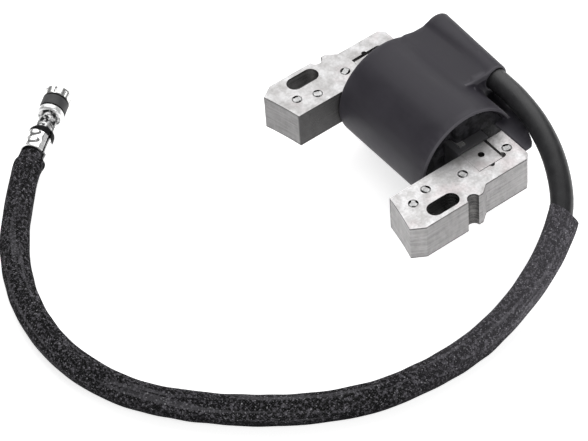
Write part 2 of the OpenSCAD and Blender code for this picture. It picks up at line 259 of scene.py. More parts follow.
def lamination_face():
    """Rolled electrical steel: cloudy, with warm patches, fine scratches and sanding grain.

    Painted shade makes it greyer round the front leg's joint, where the case's shadow falls, and
    darker on the rear leg, at negative X.
    """
    t = Tree("lamination_face", grey(0.45), 0.48, 0.85)
    cloud = t.noise(4.0, detail=6, roughness=0.65)
    warm = t.noise(9.0, detail=3)
    scratch = t.noise(0.35, (1, 0.04, 1), 6, 0.7)
    pits = t.noise(0.6, detail=6, roughness=0.8)
    body = t.mix(t.scaled(cloud, 0, 1, 0.38, 0.62), (0.51, 0.50, 0.495), (0.69, 0.685, 0.69))
    tinted = t.mix(t.scaled(warm, 0, 0.6, 0.5, 0.65), body, (0.65, 0.59, 0.595))
    streaked = t.mix(t.scaled(scratch, 0, 0.4, 0.5, 0.75), tinted, grey(0.72))
    # painted shadow of the case: the top goes greyer round the front leg's joint
    from_joint = t.distance(("X", LEG_IN - 1), ("Y", COIL_Y))
    case_shadow = t.all_of(t.scaled(from_joint, 0.75, 0, 4, 10), t.scaled(cloud, 1, 0.55))
    case_shadowed = t.mix(case_shadow, streaked, (0.22, 0.215, 0.215))
    # painted shade: the rear leg, at negative X, is darker
    rear_leg_shaded = t.mix(t.scaled(t.axis("X"), 0.24, 0, -1, 1), case_shadowed, (0.30, 0.295, 0.295))
    grain = t.noise(0.8, detail=2)
    sanded = t.mix(t.scaled(grain, 0.22, 0, 0.35, 0.6), rear_leg_shaded, (0.24, 0.235, 0.235))
    specks = t.scaled(pits, 0, 0.75, 0.60, 0.70)
    t.color(t.mix(specks, sanded, (0.16, 0.15, 0.145)))
    t.rough(t.scaled(cloud, 0.58, 0.42))
    t.bump(scratch, 0.012)
    t.bump(pits, 0.02)
    return t.material


def lamination_edge(name="lamination_edge", dark=(0.32, 0.315, 0.315), light=(0.49, 0.48, 0.48)):
    """Sheared edges of the sheets: greyer and rougher, a little different from sheet to sheet.

    Painted shade darkens them at the stack's faces, on the sides facing the coil and on the rear
    leg.
    """
    t = Tree(name, light, 0.5, 0.7)
    sheets = t.noise(0.64, (0.05, 0.05, 1), 2)
    smear = t.noise(1.6, (1, 1, 0.5), 4)
    body = t.mix(t.scaled(sheets, 0, 1), dark, light)
    bright = tuple(min(1.0, c * 1.25) for c in light)
    smeared = t.mix(t.scaled(smear, 0, 0.3), body, bright)
    # painted shade along both faces of the stack: a contact shadow at the bottom and a dark line
    # under the top
    height = t.math("ABSOLUTE", t.math("SUBTRACT", t.axis("Z"), COIL_Z))
    near_face = t.scaled(height, 0, 0.75, STACK_H / 2 - 0.65, STACK_H / 2 - 0.25)
    face_shaded = t.mix(near_face, smeared, tuple(c * 0.2 for c in dark))
    # painted shade: the rear leg's edges are darker
    rear_leg_shaded = t.mix(t.scaled(t.axis("X"), 0.42, 0, -1, 1), face_shaded, tuple(c * 0.4 for c in dark))
    # painted shade: the sides that face the coil are darker, as in the case's shadow
    inside = t.scaled(t.math("ABSOLUTE", t.axis("X")), 0.86, 0, LEG_IN + 0.2, LEG_IN + 0.6)
    t.color(t.mix(inside, rear_leg_shaded, tuple(c * 0.25 for c in dark)))
    t.rough(t.scaled(smear, 0.62, 0.46))
    t.bump(sheets, 0.03)
    return t.material


def moulded_plastic():
    """Matt black glass-filled nylon with a faint mottle and flow marks.

    Its rims and sharp edges are lighter from painted highlight and wear; painted shade darkens it
    low down and in the corner under the lead.
    """
    t = Tree("moulded_plastic", (0.05, 0.05, 0.055), 0.5, Specular_IOR_Level=0.22)
    mottle = t.noise(9.0, detail=3)
    grain = t.noise(0.22, detail=3)
    flow = t.noise(2.0, (0.18, 1, 1), 4)
    body = t.mix(t.scaled(mottle, 0, 1), (0.032, 0.0292, 0.0375), (0.045, 0.0415, 0.052))
    # painted shade: the case is darker low down, where less light falls
    low_down_shade = t.mix(t.scaled(t.axis("Z"), 0.6, 0, -4, 17), body, (0.009, 0.008, 0.012))
    flowed = t.mix(t.scaled(flow, 0, 0.3), low_down_shade, (0.044, 0.040, 0.051))
    from_coil = t.distance(("Y", COIL_Y), ("Z", COIL_Z))
    # painted highlight on the rim of the open end and on the edge of the tower's mouth
    rim = t.all_of(
        t.between(t.axis("X"), CASE_X[1] - 0.5, CASE_X[1] + 0.1),
        t.between(from_coil, CASE_R - 0.7, CASE_R + 0.1))
    mouth = t.all_of(
        t.between(t.axis("X"), TOWER_NEAR_X - 0.5, TOWER_NEAR_X + 0.1),
        t.between(t.axis("Y"), 30.4, LEAD_Y + 2),
        t.between(t.axis("Z"), 19.5, 24.0))
    # the sharp edges are lighter from wear and from painted highlight
    rim_highlight_and_wear = t.math("MAXIMUM", t.math("MAXIMUM", rim, mouth), t.edge())
    # painted shadow: the corner under the lead, by the rib, is darker
    corner = t.all_of(
        t.between(t.axis("X"), TOWER_NEAR_X + 0.5, 16.0, 2.0),
        t.between(t.axis("Y"), 34.5, LEAD_Y, 1.5),
        t.scaled(t.axis("Z"), 0.85, 0, RIB_Z[1] + 0.5, RIB_Z[1] + 2.7))
    shaded = t.mix(corner, flowed, (0.004, 0.004, 0.005))
    t.color(t.mix(t.math("MULTIPLY", rim_highlight_and_wear, 0.8), shaded, (0.13, 0.125, 0.14)))
    t.rough(t.scaled(mottle, 0.46, 0.58))
    t.bump(grain, 0.012)
    t.bump(flow, 0.03)
    return t.material


def potting():
    """Poured black resin: smoother than the case, with small ripples and dull spots."""
    t = Tree("potting", (0.02, 0.02, 0.021), 0.6, Specular_IOR_Level=0.2)
    ripple = t.noise(2.2, detail=2)
    dust = t.noise(0.4, detail=5, roughness=0.7)
    body = t.mix(t.scaled(ripple, 0, 1, 0.4, 0.6), (0.005, 0.005, 0.006), (0.024, 0.023, 0.027))
    t.color(t.mix(t.scaled(dust, 0, 0.6, 0.55, 0.7), body, (0.08, 0.08, 0.085)))
    t.rough(t.scaled(dust, 0.5, 0.75))
    t.bump(ripple, 0.15)
    return t.material


def cable_rubber():
    """Satin black cable insulation, faintly drawn along its length."""
    t = Tree("cable_rubber", (0.03, 0.03, 0.032), 0.4)
    smear = t.noise(3.0, detail=4)
    skin = t.noise(0.3, detail=4)
    body = t.mix(t.scaled(smear, 0, 1), (0.018, 0.018, 0.0195), (0.030, 0.030, 0.032))
    t.color(t.mix(t.scaled(skin, 0, 0.25, 0.5, 0.75), body, (0.09, 0.09, 0.095)))
    t.rough(t.scaled(smear, 0.36, 0.50))
    t.bump(skin, 0.01)
    return t.material


def braid():
    """Black braided sleeving. Its UV map counts yarns, so both sets run at 45 degrees in it.

    It is lighter towards the case, and painted shade darkens its underside.
    """
    t = Tree("braid", (0.03, 0.03, 0.032), 0.85, Specular_IOR_Level=0.02)
    uv = t.add("ShaderNodeUVMap", {"uv_map": "yarns"}).outputs["UV"]
    turned = t.add("ShaderNodeMapping", Vector=uv, Rotation=(0, 0, math.radians(45)),
                   Scale=(math.sqrt(2),) * 3).outputs["Vector"]
    yarns = [
        t.add("ShaderNodeTexWave", {"bands_direction": way}, Vector=turned,
              Scale=ONE_WAVE).outputs["Fac"]
        for way in ("X", "Y")]
    over = t.add("ShaderNodeTexChecker", Vector=turned, Scale=1.0).outputs["Fac"]
    height = t.add("ShaderNodeMix", Factor=over, A=yarns[0], B=yarns[1]).outputs["Result"]
    drawn = t.add("ShaderNodeMapping", Vector=uv, Scale=(0.5, 0.025, 1)).outputs["Vector"]
    crease = t.add("ShaderNodeTexNoise", Vector=drawn, Scale=1.0, Detail=4.0).outputs["Fac"]
    fuzz = t.noise(1.0, detail=5, roughness=0.75)
    glint = t.noise(0.5, detail=2)
    cloud = t.noise(6.0, detail=4)
    body = t.ramp(height, (0.0, 0.003), (0.45, 0.012), (1.0, 0.034))
    shaded = t.mix(t.scaled(cloud, 0.0, 0.6), body, (0.006, 0.006, 0.007))
    frayed = t.mix(t.scaled(fuzz, 0, 0.85, 0.49, 0.60), shaded, (0.150, 0.143, 0.160))
    creased = t.mix(t.scaled(crease, 0, 0.4, 0.55, 0.63), frayed, (0.16, 0.156, 0.168))
    # painted highlight: light specks stand in for glints on the yarns
    sparkled = t.mix(t.scaled(glint, 0, 0.85, 0.64, 0.74), creased, (0.50, 0.50, 0.51))
    # lighter towards the case
    by_case = t.scaled(t.axis("Y"), 0, 0.9, -50, 5)
    worn = t.mix(by_case, sparkled, (0.060, 0.057, 0.064), blend="ADD")
    # painted shade: the underside of the sleeve is darker
    under = t.scaled(t.axis("Z"), 0.93, 0, -8.6, -3.8)
    t.color(t.mix(under, worn, (0.002, 0.002, 0.003)))
    t.rough(t.scaled(fuzz, 0.65, 0.9))
    t.bump(height, 0.12)
    t.bump(fuzz, 0.12)
    return t.material


def plated(name="plated", dark=grey(0.62), light=(0.93, 0.93, 0.92), rough=(0.12, 0.28),
           metal=1.0):
    """Nickel-plated sheet metal, with dull patches, handling marks and drawn lines."""
    t = Tree(name, light, rough[0], metal)
    cloud = t.noise(2.5, detail=4)
    lines = t.noise(0.25, (1, 1, 0.2), 4)
    t.color(t.mix(t.scaled(cloud, 0, 1), dark, light))
    t.rough(t.scaled(cloud, rough[1], rough[0]))
    t.bump(lines, 0.012)
    return t.material


def neck_painted_reflections():
    """Plating with painted dark reflections in patches round the neck."""
    t = Tree("neck_painted_reflections", grey(0.3), 0.3, 0.8)
    patches = t.noise(1.3, detail=3)
    t.color(t.mix(t.scaled(patches, 0, 1, 0.46, 0.56), (0.02, 0.02, 0.021), grey(0.62)))
    t.rough(t.scaled(patches, 0.5, 0.25))
    t.bump(patches, 0.08)
    return t.material


def enamelled_wire():
    """Copper windings under clear enamel: the turns show as fine ridges round the coil."""
    t = Tree("enamelled_wire", (0.45, 0.17, 0.06), 0.3, 0.7, Coat_Weight=0.6, Coat_Roughness=0.15)
    wire_mm = 0.25
    turns = t.add("ShaderNodeTexWave", {"bands_direction": "X"}, Vector=t.place(),
                  Scale=ONE_WAVE / (wire_mm * MM), Distortion=0.3).outputs["Fac"]
    tint = t.noise(3.0)
    body = t.mix(t.scaled(tint, 0, 1), (0.36, 0.12, 0.04), (0.60, 0.25, 0.10))
    t.color(t.mix(turns, (0.12, 0.04, 0.015), body))
    t.rough(t.scaled(tint, 0.25, 0.4))
    t.bump(turns, 0.06)
    return t.material


def make_materials():
    """Every finish, by the name of its slot in the record."""
    steel = dict(metal=0.9, wear=0.3)
    return {
        "lamination": lamination_face(),
        "lamination_edge": lamination_edge(),
        # painted shade: the walls of the punched slots and of the notch are darker copies of the
        # sheet edges, near black in the front leg's slot and lighter in the rear leg's
        "lamination_hole": lamination_edge(
            "lamination_hole", grey(0.008), (0.035, 0.034, 0.033)),
        "lamination_hole_rear": lamination_edge(
            "lamination_hole_rear", (0.13, 0.127, 0.127), (0.34, 0.335, 0.335)),
        "lamination_notch": lamination_edge(
            "lamination_notch", grey(0.04), (0.22, 0.215, 0.21)),
        "rivet": plain_surface(
            "rivet_steel", grey(0.36), grey(0.54), (0.42, 0.56), grain=0.8,
            **steel),
        "case_plastic": moulded_plastic(),
        "resin": potting(),
        "bobbin_nylon": plain_surface(
            "bobbin_nylon", grey(0.03), (0.05, 0.05, 0.055), (0.45, 0.6), grain=1.0),
        "copper_wire": enamelled_wire(),
        "film": plain_surface(
            "polyester_film", (0.45, 0.26, 0.05), (0.62, 0.38, 0.09), (0.15, 0.3), grain=2.0,
            Coat_Weight=0.4),
        "board": plain_surface(
            "circuit_board", (0.02, 0.09, 0.035), (0.04, 0.16, 0.06), (0.25, 0.45), grain=0.7),
        "chip": plain_surface(
            "moulded_chip", grey(0.015), grey(0.03), (0.4, 0.6), grain=0.5),
        "brass_contact": plain_surface(
            "brass_contact", (0.42, 0.28, 0.09), (0.70, 0.50, 0.20), (0.2, 0.4), grain=1.0,
            **steel),
        "tinned": plain_surface(
            "tinned_strip", (0.45, 0.45, 0.44), (0.72, 0.72, 0.70), (0.3, 0.5), grain=0.6, **steel),
        "jacket": cable_rubber(),
        "braid": braid(),
        "plated": plated(),
        # painted reflection: a dark band round the socket
        "plated_dark": plain_surface(
            "band_painted_reflection", (0.022, 0.022, 0.024), (0.055, 0.055, 0.058), (0.5, 0.65), grain=0.6),
        # painted shade and dark reflection: near-black plating in the socket's grooves and at the
        # barrel's end by the neck
        "plated_black": plain_surface(
            "plating_painted_shade", grey(0.003), (0.010, 0.010, 0.011), (0.5, 0.7), grain=0.6,
            wear=0.0, Specular_IOR_Level=0.1),
        # painted highlight: a whiter copy of the plating, for the socket's shoulder and the barrel
        # beside its seam
        "plated_bright": plated(
            "plated_bright", grey(0.90), grey(0.98), (0.22, 0.35), metal=0.55),
        "plated_neck": neck_painted_reflections(),
        "spring": plain_surface(
            "spring_steel", grey(0.28), grey(0.5), (0.25, 0.4), grain=0.6, **steel),
    }


# ---- shared mesh tools ------------------------------------------------------------------


def add_piece(name, points, faces, *slots, smooth=True):
    """Mesh piece from points in millimetres, with the materials of the named slots."""
    mesh = bpy.data.meshes.new(name)
    mesh.from_pydata((np.asarray(points, float) * MM).tolist(), [], faces)
    mesh.validate()
    for slot in slots:
        mesh.materials.append(MATERIALS[slot])
    mesh.polygons.foreach_set("use_smooth", [smooth] * len(mesh.polygons))
    mesh.update()
    piece = bpy.data.objects.new(name, mesh)
    bpy.context.scene.collection.objects.link(piece)
    return piece


def stands_for(piece, slot, *nodes):
    """The piece takes the place of the CAD nodes."""
    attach(piece, "root")
    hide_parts(*nodes)
    return piece


def grid_faces(rings, sides, closed=True, flip=False):
    """Quads of a grid of rings, each with the same number of points."""
    faces = []
    for i in range(rings - 1):
        for k in range(sides if closed else sides - 1):
            a, b = i * sides + k, i * sides + (k + 1) % sides
            quad = (a, b, b + sides, a + sides)
            faces.append(quad[::-1] if flip else quad)
    return faces


def soften(piece, width_mm, angle=35):
    """Rounds the edges sharper than the angle."""
    bevel = piece.modifiers.new("edges", "BEVEL")
    bevel.width, bevel.segments = width_mm * MM, 2
    bevel.limit_method, bevel.angle_limit = "ANGLE", math.radians(angle)
    bevel.harden_normals = False
    return piece


# ---- the high-tension lead --------------------------------------------------------------

# The route is the CAD lead's, in millimetres, from its seat in the tower to the terminal.
LEAD_ROUTE = np.array([
    (-6, 42, 17.4), (7.5, 42, 17.4), (19, 41.5, 17.3), (31, 39.5, 16.1), (43, 35.5, 12.9),
    (54, 28.5, 8.2), (61, 18.5, 3.3), (65, 8, -1), (67.5, -3, -4.3), (69, -14.5, -6.2),
    (69.5, -26, -6.5), (68.5, -38, -6.5), (66, -50, -6.5), (61, -61.5, -6.5),
    (54, -72.5, -6.5), (45.5, -83, -6.5), (36, -92.5, -6.5), (25, -101, -6.5),
    (13, -107, -6.5), (0, -110.5, -6.5), (-13, -111, -6.5), (-26, -109, -6.5),
    (-38.5, -104.5, -6.5), (-50, -98, -6.5), (-61.5, -89, -6.5), (-72.5, -79, -6.5),
    (-74.39, -76.91, -6.5), (-77.5, -73, -6.5), (-81.2, -68.35, -6.5)])
# Points of the route where the sleeve starts and stops, and where the terminal starts.
SLEEVE_ENDS = (5, 26)
TERMINAL_AT = 27
TERMINAL_TURN = math.radians(128.5)
ROUTE_STEPS = 24

SLEEVE_SIDES, SLEEVE_STEP, YARNS = 72, 0.55, 30
# The start is cut at a slant and flares. The stop reaches past its point of the route, except in
# one notch.
CUT_SLANT, CUT_FLARE, CUT_TURN = 4.4, 0.85, math.radians(10)
END_REACH, END_NOTCH, END_NOTCH_TURN = 4.2, 2.4, math.radians(-15)


def smooth_route(points):
    """Centripetal Catmull-Rom curve through the points, and the row where each point falls."""
    padded = np.vstack([2 * points[0] - points[1], points, 2 * points[-1] - points[-2]])
    curve, rows = [], []
    for i in range(1, len(padded) - 2):
        p = padded[i - 1:i + 3]
        knots = np.concatenate([[0], np.cumsum(np.linalg.norm(np.diff(p, axis=0), axis=1) ** 0.5)])
        rows.append(len(curve))
        for t in np.linspace(knots[1], knots[2], ROUTE_STEPS, endpoint=False):
            near = [
                ((knots[j + 1] - t) * p[j] + (t - knots[j]) * p[j + 1]) / (knots[j + 1] - knots[j])
                for j in range(3)]
            far = [
                ((knots[j + 2] - t) * near[j] + (t - knots[j]) * near[j + 1])
                / (knots[j + 2] - knots[j])
                for j in range(2)]
            curve.append(((knots[2] - t) * far[0] + (t - knots[1]) * far[1])
                         / (knots[2] - knots[1]))
    curve.append(points[-1])
    rows.append(len(curve) - 1)
    return np.array(curve), rows


def run_length(curve):
    return np.concatenate([[0], np.cumsum(np.linalg.norm(np.diff(curve, axis=0), axis=1))])


def around_curve(curve, at, radius, angle):
    """Points round a curve: the angle from its level side, at given lengths along it."""
    tangent = np.gradient(curve, axis=0)
    tangent /= np.linalg.norm(tangent, axis=1)[:, None]
    side = np.cross(tangent, (0, 0, 1.0))
    side /= np.linalg.norm(side, axis=1)[:, None]
    up = np.cross(side, tangent)
    length = run_length(curve)
    middle, side, up = (
        np.stack([np.interp(at, length, values[:, i]) for i in range(3)], axis=-1)
        for values in (curve, side, up))
    spread = np.cos(angle)[:, None] * side + np.sin(angle)[:, None] * up
    return middle + np.asarray(radius)[..., None] * spread


def make_lead(curve):
    """Insulation: a round cord along the route."""
    data = bpy.data.curves.new("lead_jacket_skin", "CURVE")
    data.dimensions, data.fill_mode = "3D", "FULL"
    data.bevel_depth, data.bevel_resolution = LEAD_R * MM, 8
    data.use_fill_caps = True
    line = curve[::4]
    spline = data.splines.new("POLY")
    spline.points.add(len(line) - 1)
    for point, at in zip(spline.points, line):
        point.co = (*(at * MM), 1)
    spline.use_smooth = True
    data.materials.append(MATERIALS["jacket"])
    lead = bpy.data.objects.new("lead_insulation", data)
    bpy.context.scene.collection.objects.link(lead)
    return stands_for(lead, "jacket", "lead_jacket")


def waves(angle, along, seed, count, around, period_mm):
    """Smooth random relief on a tube, about -1 to 1, from a few long sine waves."""
    draw = np.random.default_rng(seed)
    total = np.zeros(np.broadcast(angle, along).shape)
    for _ in range(count):
        turns = draw.integers(-around, around + 1)
        pace = 2 * math.pi / period_mm * draw.uniform(0.5, 1.6)
        total = total + np.sin(turns * angle + pace * along + draw.uniform(0, 2 * math.pi))
    return total / math.sqrt(count)


def sleeve_radius(angle, along, cut_back, reach):
    """Radius of the sleeve, with creases, dents and folds, and the shapes of both ends."""
    creases = waves(angle, along, 3, 10, 5, 60.0)
    dents = waves(angle, along, 5, 8, 3, 14.0)
    folds = 0.6 - np.abs(waves(angle, along, 8, 6, 4, 90.0))
    radius = SLEEVE_R - 0.22 + 0.13 * creases + 0.07 * dents + 0.13 * folds
    from_start, from_stop = along - along[0], along[-1] - along
    radius += CUT_FLARE * np.exp(-from_start / 10.0) * cut_back
    radius -= 0.75 * np.exp(-from_start / 6.0) * (1 - cut_back) ** 2
    radius += 0.3 * np.exp(-from_stop / 1.2) * (1 - reach)
    radius -= 0.5 * np.clip((3.6 - from_stop) / 1.2, 0, 1) * reach
    return np.clip(radius, LEAD_R + 0.15, SLEEVE_R + 0.9)


def map_yarns(piece, along):
    """UV map of the sleeve that counts its yarns, round it and along it."""
    cell = 2 * math.pi * SLEEVE_R / YARNS
    tuck = 0.5 * np.array([[1], [2], [3]])
    down = along / cell
    down = np.concatenate([down[:1] + tuck[::-1], down, down[-1:] - tuck])
    round_it = np.arange(SLEEVE_SIDES + 1) / SLEEVE_SIDES * YARNS
    coords = [
        (round_it[column], down[row, column % SLEEVE_SIDES])
        for ring in range(len(down) - 1) for k in range(SLEEVE_SIDES)
        for row, column in ((ring, k), (ring, k + 1), (ring + 1, k + 1), (ring + 1, k))]
    uv = piece.data.uv_layers.new(name="yarns")
    uv.data.foreach_set("uv", np.array(coords, np.float32).ravel())


def make_sleeve(curve, rows):
    """Braided sleeve: a loose creased tube with a slanting, flared start and a notched stop."""
    start, stop = run_length(curve)[[rows[i] for i in SLEEVE_ENDS]]
    angle = np.linspace(0, 2 * math.pi, SLEEVE_SIDES, endpoint=False)
    cut_back = 0.5 - 0.5 * np.cos(angle - CUT_TURN)
    from_notch = np.abs((angle - END_NOTCH_TURN + math.pi) % (2 * math.pi) - math.pi)
    reach = np.clip((from_notch - math.radians(38)) / math.radians(22), 0, 1)

    share = np.linspace(0, 1, int((stop - start) / SLEEVE_STEP))[:, None]
    first = start - 0.2 + CUT_SLANT * cut_back
    last = stop + END_REACH - END_NOTCH * (1 - reach)
    along = first * (1 - share) + last * share
    radius = sleeve_radius(angle, along, cut_back, reach)
    outer = around_curve(curve, along, radius, angle)
    flat = np.clip(-np.sin(angle), 0, 1) ** 2
    outer[..., 2] = np.maximum(outer[..., 2], FLOOR_Z + 0.03 * flat)

    # the ends turn in and close on the insulation
    tucks = []
    for row, inward in ((0, 1), (-1, -1)):
        lip = np.minimum(SLEEVE_R - 0.6, radius[row] - 0.08)
        for depth, r in ((0.0, lip), (0.9, LEAD_R + 0.05), (4.0, LEAD_R - 0.05)):
            tucks.append(around_curve(curve, along[row] + inward * depth, r, angle))
    points = np.concatenate([tucks[2::-1], outer, tucks[3:]])
    faces = grid_faces(len(points), SLEEVE_SIDES)
    piece = add_piece("braided_sleeve", points.reshape(-1, 3), faces, "braid")
    map_yarns(piece, along)
    return stands_for(piece, "braid", "lead_sleeve")


# ---- the spark plug terminal ------------------------------------------------------------


def terminal_points(local):
    """Points given along the terminal's own axis, in the model's frame."""
    to_axis = Matrix.Rotation(TERMINAL_TURN, 3, "Z") @ Matrix.Rotation(math.radians(90), 3, "Y")
    turned = np.asarray(local, float).reshape(-1, 3) @ np.array(to_axis).T
    return turned + LEAD_ROUTE[TERMINAL_AT]


def around_axis(radius, angle, height):
    """Points given by radius, angle and height on the terminal's axis."""
    radius, angle, height = np.broadcast_arrays(radius, angle, height)
    return np.stack([radius * np.cos(angle), radius * np.sin(angle), height], axis=-1)


def sheet_tube(name, angle, height, radius, thick, closed, *slots):
    """Rolled sheet metal of even thickness, from a grid of angles, heights and outer radii."""
    rows, columns = radius.shape
    outer = terminal_points(around_axis(radius, angle, height))
    inner = terminal_points(around_axis(radius - thick, angle, height))
    count = rows * columns
    faces = grid_faces(rows, columns, closed)
    faces += [tuple(i + count for i in f) for f in grid_faces(rows, columns, closed, True)]
    for k in range(columns if closed else columns - 1):
        a, b = k, (k + 1) % columns
        faces.append((b, a, a + count, b + count))
        a, b = a + (rows - 1) * columns, b + (rows - 1) * columns
        faces.append((a, b, b + count, a + count))
    if not closed:
        for i in range(rows - 1):
            a, b = i * columns, (i + 1) * columns
            faces.append((a, b, b + count, a + count))
            a, b = a + columns - 1, b + columns - 1
            faces.append((b, a, a + count, b + count))
    return add_piece(name, np.vstack([outer, inner]), faces, *slots)


def oval(angle, height, at_angle, at_height, half_wide, half_high, radius):
    """1 inside an oval on a tube, falling to 0 over its soft edge."""
    turn = (angle - at_angle + math.pi) % (2 * math.pi) - math.pi
    away = np.hypot(turn * radius / half_wide, (height - at_height) / half_high)
    return np.clip((1.25 - away) / 0.5, 0, 1)


def tint(piece, marks):
    """Gives each face the material whose number the grid has at the face's first corner."""
    flat = marks.ravel()
    index = [flat[face.vertices[0] % flat.size] for face in piece.data.polygons]
    piece.data.polygons.foreach_set("material_index", index)


def make_barrel():
    """Crimp barrel: rolled sheet with two pressed beads, an open seam and one wing laid back."""
    seam, seam_half = math.radians(236), math.radians(6)
    wing, wing_half, wing_l = math.radians(292), math.radians(32), 4.5
    barrel_r, neck_r, barrel_l, shoulder_z, sheet_mm = 4.2, 2.95, 10.0, 8.6, 0.55
    columns, rows = 121, 61
    angle = np.linspace(seam + seam_half, seam + 2 * math.pi - seam_half, columns)[None, :]
    from_wing = np.abs((angle - wing + math.pi) % (2 * math.pi) - math.pi) / wing_half
    tongue = wing_l * np.clip((1.18 - from_wing) / 0.18, 0, 1) ** 0.5
    share = np.linspace(0, 1, rows)[:, None]
    height = -tongue + (barrel_l + tongue) * share
    shoulder = np.clip((height - shoulder_z) / (barrel_l - shoulder_z), 0, 0.999)
    radius = barrel_r - (barrel_r - neck_r) * (1 - np.sqrt(1 - shoulder ** 2.4))
    for bead_z, turn in ((3.2, 170), (6.4, 165)):
        bead = oval(angle, height, math.radians(turn), bead_z, 1.9, 1.15, barrel_r)
        groove = oval(angle, height, math.radians(turn), bead_z, 2.5, 1.7, barrel_r)
        radius = radius + 0.34 * bead - 0.16 * (groove - bead).clip(0)
    mouth = np.clip(1 - (height + tongue) / 1.2, 0, 1)
    radius = radius + 0.28 * mouth ** 2 * (tongue < 0.5)
    radius = radius + 0.35 * np.clip(-height / wing_l, 0, 1) ** 2
    radius = radius + 0.05 * np.sin(3 * angle + height)
    turns = np.broadcast_to(angle, height.shape)
    piece = sheet_tube(
        "crimp_barrel_rolled", turns, height, radius, sheet_mm, False, "plated", "plated_black",
        "plated_bright")
    # painted shade towards the neck, and a painted highlight near the seam
    around = np.degrees(turns) % 360
    shade_above = np.interp(around, (120, 196, 240, 270, 310), (8.1, 7.1, 6.3, 5.6, 8.6))
    by_wing = (around > 212) & (around < 268)
    tint(piece, np.where(height > shade_above, 1, np.where(by_wing, 2, 0)))
    return stands_for(soften(piece, 0.12, 50), "plated", "crimp_barrel")


# Height and radius of the socket, from the barrel to the rim.
SOCKET_PROFILE = np.array([
    (8.2, 3.25), (8.9, 3.3), (9.2, 2.9), (10.2, 2.88), (12.0, 2.84), (15.2, 2.86), (16.3, 2.9),
    (16.6, 3.2), (16.9, 4.1), (17.3, 4.32), (18.5, 4.35), (18.8, 4.12), (19.1, 4.26), (21.0, 4.24),
    (23.2, 4.26), (23.5, 4.12), (23.8, 4.38), (24.4, 4.42), (25.4, 4.52), (26.3, 4.62),
    (26.6, 4.55)])


def make_socket():
    """Push-on socket: necked tube with a side hole, a shoulder, a dark band and a split rim."""
    columns, neck_r, sheet_mm = 160, 2.9, 0.5
    height = np.concatenate([
        np.linspace(8.2, 16.0, 40), np.linspace(16.1, 18.9, 24), np.linspace(19.0, 23.4, 14),
        np.linspace(23.5, 26.6, 20)])[:, None]
    angle = np.linspace(0, 2 * math.pi, columns, endpoint=False)[None, :]
    radius = np.interp(height, SOCKET_PROFILE[:, 0], SOCKET_PROFILE[:, 1])
    blur = np.ones(3) / 3
    radius = np.convolve(np.pad(radius[:, 0], 1, "edge"), blur, "valid")[:, None]
    radius = np.broadcast_to(radius, (len(height), columns)).copy()
    # pressed hole in the neck, its edge turned in
    hole_turn, hole_z = math.radians(233), 13.8
    hole = oval(angle, height, hole_turn, hole_z, 1.0, 1.0, neck_r)
    lip = (oval(angle, height, hole_turn, hole_z, 1.5, 1.5, neck_r) - hole).clip(0)
    radius -= 0.9 * hole
    radius += 0.10 * lip
    # dimples beside it
    for turn, z in ((178, 13.0), (200, 15.0), (290, 13.4)):
        radius -= 0.22 * oval(angle, height, math.radians(turn), z, 1.2, 0.7, neck_r)
    # slits that let the rim spring
    slits = np.cos(8 * angle) > 0.90
    radius = radius - 0.42 * slits * (height > 23.9) * (height < 26.0)
    turns, heights = np.broadcast_arrays(angle, height)
    piece = sheet_tube(
        "terminal_socket_drawn", turns, heights, radius, sheet_mm, True, "plated_neck",
        "plated_bright", "plated_black", "plated_dark", "plated")
    # neck with painted dark reflections, shoulder with a painted highlight, groove in painted shade,
    # band of painted dark reflection, groove in painted shade, and rim
    rows = np.searchsorted((16.7, 18.75, 19.25, 23.0, 23.5), heights)
    tint(piece, np.array((0, 1, 2, 3, 2, 4))[rows])
    return stands_for(piece, "plated", "terminal_socket")


# ---- the laminated core -----------------------------------------------------------------

SHEETS = 20
SHEET_EDGE = 0.04
SHEET_SHIFT = 0.015
SHEET_GAP = 0.02
# How far the visual moves the CAD's faces at the joints between the bar and the legs, and how
# near a limit a point counts as lying on it.
BAR_SIDE_SHIFT, BAR_REAR_SHIFT, BAR_FRONT_SHIFT, POCKET_LIP_SHIFT = 0.6, 1.1, 0.14, 0.7
NEAR = 0.05


def plan_of(node):
    """Top face of a CAD node: its points in millimetres, triangles, and outline edges in order."""
    mesh = bmesh.new()
    mesh.from_mesh(frame["nodes"][node].data)
    bmesh.ops.remove_doubles(mesh, verts=mesh.verts, dist=1e-6)
    top = max(v.co.z for v in mesh.verts)
    under = [f for f in mesh.faces if any(v.co.z < top - 1e-6 for v in f.verts)]
    bmesh.ops.delete(mesh, geom=under, context="FACES")
    mesh.verts.ensure_lookup_table()
    mesh.verts.index_update()
    points = np.array([v.co / MM for v in mesh.verts])
    faces = [tuple(v.index for v in f.verts) for f in mesh.faces]
    rim = [(loop.vert.index, loop.link_loop_next.vert.index)
           for f in mesh.faces for loop in f.loops if loop.edge.is_boundary]
    mesh.free()
    return points, faces, rim


def outward(points, rim):
    """Direction away from the metal at each outline point, in the plan."""
    away = np.zeros((len(points), 2))
    for a, b in rim:
        run = points[b, :2] - points[a, :2]
        normal = np.array([run[1], -run[0]]) / max(np.linalg.norm(run), 1e-9)
        away[a] += normal
        away[b] += normal
    size = np.linalg.norm(away, axis=1)
    return away / np.maximum(size, 1e-9)[:, None]


def hole_points(points, rim):
    """The outline points that belong to punched holes: those of every loop but the widest."""
    after, loops = dict(rim), []
    while after:
        start, at = after.popitem()
        loop = [start]
        while at in after:
            loop.append(at)
            at = after.pop(at)
        loops.append(loop)
    widest = max(loops, key=lambda loop: np.ptp(points[loop, :2], axis=0).sum())
    return {i for loop in loops if loop is not widest for i in loop}


